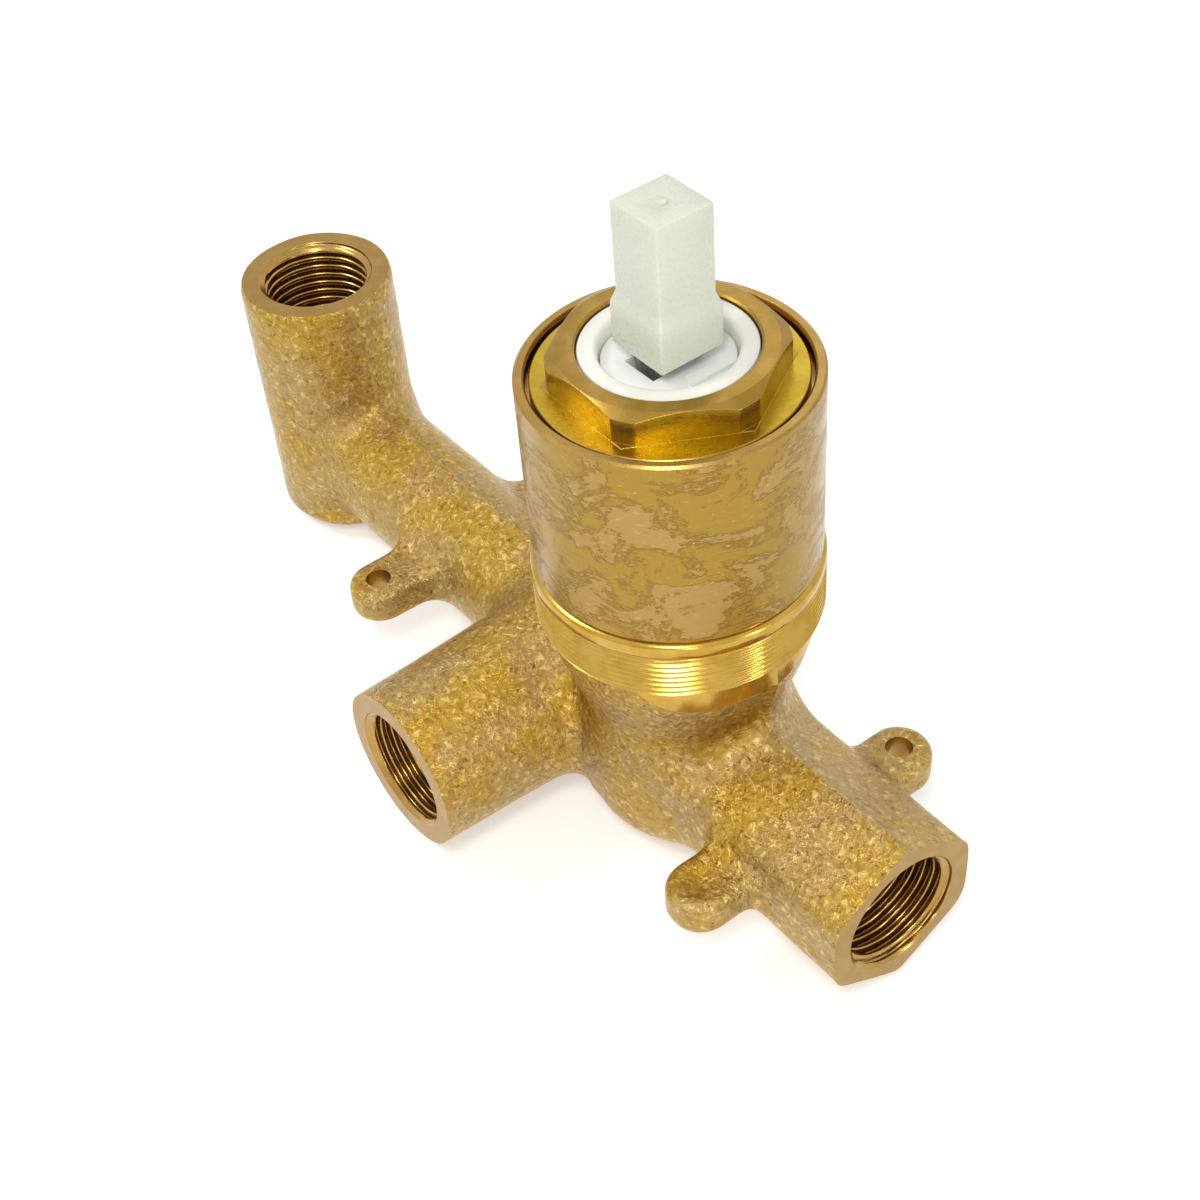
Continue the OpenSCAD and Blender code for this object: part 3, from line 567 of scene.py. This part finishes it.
CAST = cast_brass()
TURNED = turned_brass()
FACED = machined_brass("faced_brass", (0.36, 0.215, 0.055), (0.41, 0.255, 0.075), 0.26, 0.38)
BORED = machined_brass("bored_brass", (0.46, 0.28, 0.09), (0.40, 0.235, 0.06), 0.20, 0.28, 0.003)
THREAD = machined_brass("threaded_brass", (0.56, 0.36, 0.075), (0.48, 0.29, 0.045), 0.15, 0.24, 0.004)
NUT = machined_brass("nut_brass", (0.33, 0.195, 0.035), (0.39, 0.24, 0.055), 0.26, 0.38, 0.006)
NUT_FLAT = machined_brass("nut_flat_brass", (0.47, 0.325, 0.03), (0.42, 0.28, 0.022), 0.24, 0.36, 0.006, (2.0, 2.0, 14.0))
MATERIAL_ORDER = [CAST, TURNED, FACED, BORED, THREAD]
CAST_SLOT, TURNED_SLOT, FACED_SLOT, BORED_SLOT, THREAD_SLOT = range(5)
STEM = moulded_plastic("stem_plastic_natural", (0.70, 0.73, 0.60), (0.66, 0.70, 0.57), 0.35, 0.30, (1.0, 1.0, 0.8), 3.0)
IVORY = moulded_plastic("neck_plastic_white", (0.92, 0.90, 0.82), (0.89, 0.86, 0.77), 0.25, 0.34)
GUIDE = moulded_plastic("guide_plastic_white", (0.86, 0.87, 0.85), (0.82, 0.83, 0.81), 0.25, 0.36)
GREY = moulded_plastic("carrier_plastic_grey", (0.42, 0.43, 0.44), (0.36, 0.37, 0.38), 0.05, 0.40)
CERAMIC = moulded_plastic("ceramic_white", (0.88, 0.88, 0.86), (0.84, 0.84, 0.82), 0.1, 0.14)
RUBBER = moulded_plastic("seal_rubber", (0.035, 0.035, 0.037), (0.05, 0.05, 0.052), 0.0, 0.62)
STEEL = plain_metal("lever_steel", (0.62, 0.61, 0.59), 0.25)


# Valve body


def tower_solid():
    """Turned outside of the tower with its fine thread, as one closed solid."""
    turns = 192
    angle = np.arange(turns) * 2 * math.pi / turns
    heights, rows = [], []

    def row(h, r):
        heights.append(h)
        rows.append(r)

    row(RING_LOW - 4.0, 12.0)
    row(RING_LOW - 1.0, RELIEF_R - 2.2)
    row(RING_LOW, RELIEF_R - 0.9)
    row(RING_LOW, RING_R - 0.5)
    fine_low, fine_high, pitch, depth = RING_LOW + 0.25, 38.75, 1.0, 0.42
    for h in np.arange(fine_low, fine_high + 0.01, pitch / 8):
        phase = (h / pitch - angle / (2 * math.pi)) % 1.0
        cut = np.clip(1.35 - 2.7 * np.abs(phase - 0.5), 0.0, 1.0)
        window = min(1.0, (fine_high - h) / 0.8)
        row(h, RING_R - depth * smooth_step(cut) * window)
    row(40.35, RING_R)
    row(40.75, RING_R - 0.3)
    row(40.95, GROOVE_R)
    row(41.35, GROOVE_R)
    row(41.6, TOWER_R)
    row(TOWER_TOP - 0.35, TOWER_R)
    row(TOWER_TOP, TOWER_R - 0.35)
    points, faces = turned_field(rows, heights, turns)
    return make_mesh("tower_tool", points, faces, TURNED_SLOT), heights


def add_port(body, depth, matrix, origin):
    points, faces = port_cutter(depth, PASSAGE_R)
    tool = make_mesh("port_tool", place(points, matrix, origin), faces, BORED_SLOT)
    for p in tool.data.polygons:
        # The face plane and what lies outside it
        r = max(math.hypot(*points[v][:2]) for v in p.vertices)
        if r > PORT_MOUTH_R + 0.1:
            p.material_index = FACED_SLOT
    return boolean(body, tool, "DIFFERENCE")


def build_body():
    step = 0.85
    low, high = (POST_X - POST_R - 1.6, -FRONT_FACE - 2.6, BOWL_LOW - 1.1), (RIGHT_FACE + 2.8, LUG_Y + LUG_R + 1.4, POST_TOP + 3.0)
    points, faces = surface_net(casting_field, low, high, step)
    body = make_mesh("valve_casting", points, faces, CAST_SLOT)
    # The turned relief takes the cast skin off under the ring
    ring, ring_faces = lathe([(RELIEF_R, RELIEF_LOW), (30.0, RELIEF_LOW), (30.0, RING_LOW + 8.0), (RELIEF_R, RING_LOW + 8.0)], 192)
    n = len(ring) // 4
    ring_faces += [(3 * n + i, 3 * n + (i + 1) % n, (i + 1) % n, i) for i in range(n)]
    boolean(body, make_mesh("relief_tool", ring, ring_faces, THREAD_SLOT), "DIFFERENCE")
    tower, _ = tower_solid()
    for p in tower.data.polygons:
        h = p.center.z / MM - ARM_AXIS_Z
        if h < RING_HIGH + 0.3:
            p.material_index = THREAD_SLOT
        elif h > TOWER_TOP - 0.5:
            p.material_index = FACED_SLOT
    boolean(body, tower, "UNION")
    add_port(body, RIGHT_FACE + WAYS[0][0] + 1.0, [[0, 0, 1], [0, 1, 0], [-1, 0, 0]], (RIGHT_FACE, 0, 0))
    add_port(body, FRONT_FACE - 6.5, [[1, 0, 0], [0, 0, -1], [0, 1, 0]], (FRONT_X, -FRONT_FACE, 0))
    add_port(body, POST_TOP + 6.0, [[1, 0, 0], [0, 1, 0], [0, 0, 1]], (POST_X, 0, POST_TOP))
    cavity, cavity_faces = lathe([
        (0, SEAT_Z), (CAVITY_R, SEAT_Z), (CAVITY_R, ROOF_Z), (NUT_THREAD_R, ROOF_Z), (NUT_THREAD_R, TOWER_TOP - RECESS_DEPTH),
        (RECESS_R, TOWER_TOP - RECESS_DEPTH), (RECESS_R, TOWER_TOP - 0.3), (RECESS_R + 0.3, TOWER_TOP), (RECESS_R + 0.3, TOWER_TOP + 2), (0, TOWER_TOP + 2),
    ], 192)
    boolean(body, make_mesh("cavity_tool", cavity, cavity_faces, BORED_SLOT), "DIFFERENCE")
    drill(body, (POST_X, 4.5, 0), (1.0, 4.5, 0), 5.0)
    drill(body, (FRONT_X, -9.5, 0), (-6.0, -9.5, 0), 3.4)
    for x, y, r in WAYS:
        drill(body, (x, y, -1.0), (x, y, SEAT_Z + 1.0), r)
    for side in (-1, 1):
        drill(body, (side * 11.6, 4.5, SEAT_Z - 3.5), (side * 11.6, 4.5, SEAT_Z + 1.0), 2.125)
    for x, y in ((LUG_X[0], -LUG_Y), (LUG_X[1], LUG_Y)):
        drill(body, (x, y, -9.0), (x, y, 9.0), LUG_HOLE_R)
    soften(body, curved=(BORED_SLOT, THREAD_SLOT))
    return body


def drill(body, start, end, r, turns=48):
    """Round hole between two points."""
    a, b = Vector(start), Vector(end)
    points, faces = lathe([(0, 0), (r, 0), (r, (b - a).length), (0, (b - a).length)], turns)
    turn = (b - a).to_track_quat("Z", "Y").to_matrix()
    return boolean(body, make_mesh("drill_tool", place(points, turn, a), faces, BORED_SLOT), "DIFFERENCE")


body = build_body()
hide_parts("valve_body")
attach(body, "valve")


# Cartridge pieces that show


def loop_lathe(profile, turns=160):
    """Turned ring from a closed (radius, height) profile that stays off the axis."""
    points, faces = lathe(profile, turns)
    last = (len(profile) - 1) * turns
    faces += [(last + i, last + (i + 1) % turns, (i + 1) % turns, i) for i in range(turns)]
    return points, faces


def single(name, points, faces, material):
    obj = make_mesh(name, points, faces, None)
    obj.data.materials.append(material)
    return obj


def block(name, low, high, material):
    x0, y0, z0 = low
    x1, y1, z1 = high
    points = [(x, y, z) for z in (z0, z1) for x, y in ((x0, y0), (x1, y0), (x1, y1), (x0, y1))]
    faces = [(3, 2, 1, 0), (4, 5, 6, 7), (0, 1, 5, 4), (1, 2, 6, 5), (2, 3, 7, 6), (3, 0, 4, 7)]
    return single(name, points, faces, material)


def outward(obj):
    """Faces of a closed mesh are turned to look outwards."""
    import bmesh

    bm = bmesh.new()
    bm.from_mesh(obj.data)
    bmesh.ops.recalc_face_normals(bm, faces=bm.faces)
    bm.to_mesh(obj.data)
    bm.free()
    return obj


NUT_BORE_R, NUT_FLANGE_R, NUT_LEDGE, NUT_TOP = 13.0, 19.8, 73.5, 78.3
NUT_FLAT_R, NUT_CORNER_R = 15.8, 17.3
SHOULDER_Z, NECK_R, NECK_TOP, NECK_BORE_R = 64.54, 12.8, 77.9, 9.9


def build_nut():
    profile = [
        (NUT_BORE_R, SHOULDER_Z), (19.0, SHOULDER_Z), (19.0, 71.0), (NUT_FLANGE_R, 71.0), (NUT_FLANGE_R, NUT_LEDGE - 0.3),
        (NUT_FLANGE_R - 0.3, NUT_LEDGE), (NUT_CORNER_R, NUT_LEDGE), (NUT_CORNER_R, NUT_TOP - 1.0), (NUT_CORNER_R - 1.7, NUT_TOP),
        (NUT_BORE_R + 0.35, NUT_TOP), (NUT_BORE_R, NUT_TOP - 0.35),
    ]
    nut = outward(single("cartridge_ring_nut", *loop_lathe(profile, 180), NUT))
    nut.data.materials.append(NUT_FLAT)
    for k in range(6):
        turn = math.radians(30 + 60 * k)
        tool = block("flat_tool", (NUT_FLAT_R, -13.0, NUT_LEDGE - 0.12), (NUT_FLAT_R + 8.0, 13.0, NUT_TOP + 2.0), NUT)
        tool.data.materials.append(NUT_FLAT)
        tool.data.polygons.foreach_set("material_index", [1] * 6)
        tool.data.transform(Matrix.Rotation(turn, 4, "Z"))
        boolean(nut, tool, "DIFFERENCE")
    bevel = nut.modifiers.new("edges", "BEVEL")
    bevel.width, bevel.segments, bevel.limit_method, bevel.angle_limit = 0.18 * MM, 2, "ANGLE", math.radians(28)
    soften(nut)
    return nut


def build_housing():
    profile = [
        (16.35, 44.0), (17.45, 44.0), (17.45, SHOULDER_Z), (NECK_R, SHOULDER_Z), (NECK_R, NECK_TOP - 0.4), (NECK_R - 0.12, NECK_TOP - 0.12),
        (NECK_R - 0.4, NECK_TOP), (NECK_BORE_R + 0.75, NECK_TOP), (NECK_BORE_R + 0.45, NECK_TOP - 0.1), (NECK_BORE_R + 0.1, NECK_TOP - 0.5),
        (NECK_BORE_R, NECK_TOP - 0.9), (NECK_BORE_R, ROOF_Z), (16.35, ROOF_Z),
    ]
    housing = outward(single("cartridge_neck_housing", *loop_lathe(profile), IVORY))
    # Wall inside the roof that the guide's tab runs against
    angles = np.radians(np.linspace(160.5, 379.5, 60))
    section = [(14.2, 60.22), (16.9, 60.22), (16.9, 63.8), (14.2, 63.8)]
    points = [(r * math.cos(a), r * math.sin(a), h) for a in angles for r, h in section]
    faces = [(4 * i + j, 4 * i + (j + 1) % 4, 4 * i + 4 + (j + 1) % 4, 4 * i + 4 + j) for i in range(len(angles) - 1) for j in range(4)]
    faces += [(0, 3, 2, 1), tuple(4 * (len(angles) - 1) + j for j in range(4))]
    boolean(housing, outward(single("stop_wall_tool", points, faces, IVORY)), "UNION")
    soften(housing)
    return housing


def build_guide():
    profile = [(0, 60.22), (14.0, 60.22), (14.0, 62.22), (9.6, 62.22), (9.6, 75.6), (9.5, 75.82), (9.3, 75.9), (0, 75.9)]
    guide = outward(single("lever_guide_drum", *lathe(profile), GUIDE))
    # Raised pad beside the lever's slot, and the two rails below the flange
    boolean(guide, block("pad_tool", (5.9, -2.2, 75.0), (8.0, 5.0, 76.6), GUIDE), "UNION")
    for side in (-1, 1):
        x = side * 9.35
        boolean(guide, block("rail_tool", (x - 1.25, -9.0, 59.02), (x + 1.25, 9.0, 61.2), GUIDE), "UNION")
    angles = np.radians(np.linspace(70, 110, 16))
    section = [(13.0, 60.22), (16.15, 60.22), (16.15, 62.22), (13.0, 62.22)]
    points = [(r * math.cos(a), r * math.sin(a), h) for a in angles for r, h in section]
    faces = [(4 * i + j, 4 * i + (j + 1) % 4, 4 * i + 4 + (j + 1) % 4, 4 * i + 4 + j) for i in range(len(angles) - 1) for j in range(4)]
    faces += [(0, 3, 2, 1), tuple(4 * (len(angles) - 1) + j for j in range(4))]
    boolean(guide, outward(single("tab_tool", points, faces, GUIDE)), "UNION")
    boolean(guide, block("slot_tool", (-3.15, -5.3, 58.0), (3.15, 5.3, 78.0), GUIDE), "DIFFERENCE")
    pin, pin_faces = lathe([(0, -11.0), (1.5, -11.0), (1.5, 11.0), (0, 11.0)], 48)
    pin = place(pin, [[0, 0, 1], [0, 1, 0], [-1, 0, 0]], (0, 0, 70.0))
    boolean(guide, outward(single("pin_tool", pin, pin_faces, GUIDE)), "DIFFERENCE")
    soften(guide)
    return guide


def square_ring(half, height, radius, steps=4):
    """Points round a square with rounded corners."""
    centre = half - radius
    points = []
    for k in range(4):
        for i in range(steps + 1):
            a = math.radians(90 * k + 90 * i / steps)
            cx = centre * (1 if k in (0, 3) else -1)
            cy = centre * (1 if k in (0, 1) else -1)
            points.append((cx + radius * math.cos(a), cy + radius * math.sin(a), height))
    return points


def build_stem():
    """Square plastic stem with a wider foot, soft edges and the moulding mark on top."""
    low, top = 77.5, 100.7
    levels = [
        (4.75, low, 0.3), (5.50, low + 0.75, 0.35), (5.55, low + 0.95, 0.35), (5.55, low + 7.3, 0.35), (5.40, low + 7.8, 0.35),
        (4.98, low + 9.0, 0.35), (4.90, low + 9.4, 0.35), (4.90, top - 0.22, 0.3), (4.84, top - 0.07, 0.28), (4.68, top, 0.25),
    ]
    rings = [square_ring(h, z, r) for h, z, r in levels]
    n = len(rings[0])
    points = [p for ring in rings for p in ring]
    faces = [(a * n + i, a * n + (i + 1) % n, (a + 1) * n + (i + 1) % n, (a + 1) * n + i) for a in range(len(rings) - 1) for i in range(n)]
    faces += [tuple(reversed(range(n))), tuple((len(rings) - 1) * n + i for i in range(n))]
    stem = outward(single("square_stem", points, faces, STEM))
    dish, dish_faces = lathe([(0, top - 0.22), (1.0, top - 0.22), (1.45, top), (1.6, top + 1.0), (0, top + 1.0)], 48)
    boolean(stem, outward(single("dish_tool", dish, dish_faces, STEM)), "DIFFERENCE")
    dot, dot_faces = lathe([(0, top - 1.0), (0.8, top - 1.0), (0.8, top + 0.1), (0.65, top + 0.18), (0, top + 0.18)], 32)
    boolean(stem, outward(single("dot_tool", dot, dot_faces, STEM)), "UNION")
    boolean(stem, block("tongue_tool", (-3.05, -3.55, low - 2.0), (3.05, 3.55, 95.05), STEM), "DIFFERENCE")
    soften(stem)
    return stem


for build, node, rides, finish in (
    (build_nut, "cartridge_nut", "valve", "turned_brass"),
    (build_housing, "cartridge_housing", "valve", "white_plastic"),
    (build_guide, "lever_guide", "guide", "white_plastic"),
    (build_stem, "stem_extension", "lever", "stem_plastic"),
):
    piece = build()
    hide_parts(node)
    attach(piece, rides)

CAD_FINISH = {
    "cartridge_base": GREY, "disc_carrier": GREY, "slide_ring": GUIDE, "fixed_disc": CERAMIC, "moving_disc": CERAMIC,
    "lever_pin": STEEL, "cartridge_lever": STEEL, "carrier_seal": RUBBER, "hot_inlet_seal": RUBBER, "cold_inlet_seal": RUBBER,
    "outlet_seal": RUBBER, "hot_disc_seal": RUBBER, "cold_disc_seal": RUBBER, "outlet_disc_seal": RUBBER,
}
for node, material in CAD_FINISH.items():
    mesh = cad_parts[node].data
    mesh.materials.clear()
    mesh.materials.append(material)


# Floor, light and camera


def seen_directly(tree):
    """1 for camera, glossy and transmission rays, so metal and glass show the same background as the camera."""
    path = tree.nodes.new("ShaderNodeLightPath")
    seen = path.outputs["Is Camera Ray"]
    for ray in ("Is Glossy Ray", "Is Transmission Ray"):
        either = tree.nodes.new("ShaderNodeMath")
        either.operation = "MAXIMUM"
        tree.links.new(seen, either.inputs[0])
        tree.links.new(path.outputs[ray], either.inputs[1])
        seen = either.outputs[0]
    return seen


def plain_stage():
    """Pale floor that shows white to the camera and keeps the object's soft shadow."""
    mesh = bpy.data.meshes.new("floor")
    half, low = 1.6, -0.0002
    mesh.from_pydata([(-half, -half, low), (half, -half, low), (half, half, low), (-half, half, low)], [], [(0, 1, 2, 3)])
    floor = bpy.data.objects.new("floor", mesh)
    bpy.context.scene.collection.objects.link(floor)
    mat = bpy.data.materials.new("pale_floor")
    mat.use_nodes = True
    tree = mat.node_tree
    tree.nodes.clear()
    diffuse = tree.nodes.new("ShaderNodeBsdfDiffuse")
    diffuse.inputs["Color"].default_value = (0.90, 0.90, 0.90, 1)
    glow = tree.nodes.new("ShaderNodeEmission")
    lift = tree.nodes.new("ShaderNodeMath")
    lift.operation = "MULTIPLY"
    lift.inputs[1].default_value = 0.42
    tree.links.new(seen_directly(tree), lift.inputs[0])
    tree.links.new(lift.outputs[0], glow.inputs["Strength"])
    both = tree.nodes.new("ShaderNodeAddShader")
    tree.links.new(diffuse.outputs[0], both.inputs[0])
    tree.links.new(glow.outputs[0], both.inputs[1])
    out = tree.nodes.new("ShaderNodeOutputMaterial")
    tree.links.new(both.outputs[0], out.inputs["Surface"])
    mesh.materials.append(mat)


def studio_world():
    """White wherever it is seen, also in metal; as light a soft room, paler overhead than at the sides."""
    world = bpy.data.worlds.new("studio")
    bpy.context.scene.world = world
    world.use_nodes = True
    tree = world.node_tree
    tree.nodes.clear()
    coord = tree.nodes.new("ShaderNodeTexCoord")
    split = tree.nodes.new("ShaderNodeSeparateXYZ")
    tree.links.new(coord.outputs["Generated"], split.inputs[0])
    height = tree.nodes.new("ShaderNodeMapRange")
    height.inputs["From Min"].default_value, height.inputs["From Max"].default_value = 0.0, 1.0
    height.inputs["To Min"].default_value, height.inputs["To Max"].default_value = 0.34, 0.60
    tree.links.new(split.outputs["Z"], height.inputs["Value"])
    room = tree.nodes.new("ShaderNodeBackground")
    tree.links.new(height.outputs[0], room.inputs["Strength"])
    white = tree.nodes.new("ShaderNodeBackground")
    white.inputs["Color"].default_value = (1.0, 1.0, 1.0, 1.0)
    mix = tree.nodes.new("ShaderNodeMixShader")
    tree.links.new(seen_directly(tree), mix.inputs[0])
    tree.links.new(room.outputs[0], mix.inputs[1])
    tree.links.new(white.outputs[0], mix.inputs[2])
    out = tree.nodes.new("ShaderNodeOutputWorld")
    tree.links.new(mix.outputs[0], out.inputs["Surface"])


def area_light(name, azimuth, elevation, distance, size, watts):
    a, e = math.radians(azimuth), math.radians(elevation)
    data = bpy.data.lights.new(name, "AREA")
    data.shape, data.size, data.size_y, data.energy = "RECTANGLE", size[0], size[1], watts
    lamp = bpy.data.objects.new(name, data)
    back = Vector((math.cos(a) * math.cos(e), math.sin(a) * math.cos(e), math.sin(e)))
    lamp.location = Vector((-0.03, 0, 0.04)) + back * distance
    lamp.rotation_euler = (-back).to_track_quat("-Z", "Y").to_euler()
    bpy.context.scene.collection.objects.link(lamp)


# Camera found from the photograph, as a turn about a target on the part
CAM_AZ, CAM_EL, CAM_ROLL, CAM_DISTANCE = -55.75, 43.69, -5.09, 288.22
CAM_TARGET = Vector((-1.62, -14.01, 36.56))
CAM_LENS, CAM_SENSOR = 57.47, 36.0


def photo_camera():
    az, el, roll = (math.radians(v) for v in (CAM_AZ, CAM_EL, CAM_ROLL))
    back = Vector((-math.sin(az) * math.cos(el), -math.cos(az) * math.cos(el), math.sin(el)))
    right = (-back).cross(Vector((0, 0, 1))).normalized()
    up = right.cross(-back)
    right, up = right * math.cos(roll) + up * math.sin(roll), up * math.cos(roll) - right * math.sin(roll)
    data = bpy.data.cameras.new("photo_camera")
    data.lens, data.sensor_width = CAM_LENS, CAM_SENSOR
    data.clip_start, data.clip_end = 0.01, 20.0
    cam = bpy.data.objects.new("photo_camera", data)
    turn = Matrix((right, up, back)).transposed().to_4x4()
    cam.matrix_world = Matrix.Translation((CAM_TARGET + back * CAM_DISTANCE + LIFT) * MM) @ turn
    bpy.context.scene.collection.objects.link(cam)
    bpy.context.scene.camera = cam


plain_stage()
studio_world()
area_light("key_by_camera", -42, 54, 0.60, (0.12, 0.12), 1.3)
area_light("front_strip", -31, 16, 0.60, (0.05, 0.22), 0.34)
area_light("side_strip", 12, 16, 0.60, (0.05, 0.30), 0.5)
area_light("left_key", -135, 50, 0.65, (0.15, 0.15), 1.1)
area_light("back_fill", 120, 45, 0.70, (0.50, 0.35), 0.35)
photo_camera()
bpy.context.scene.view_settings.view_transform = "Standard"
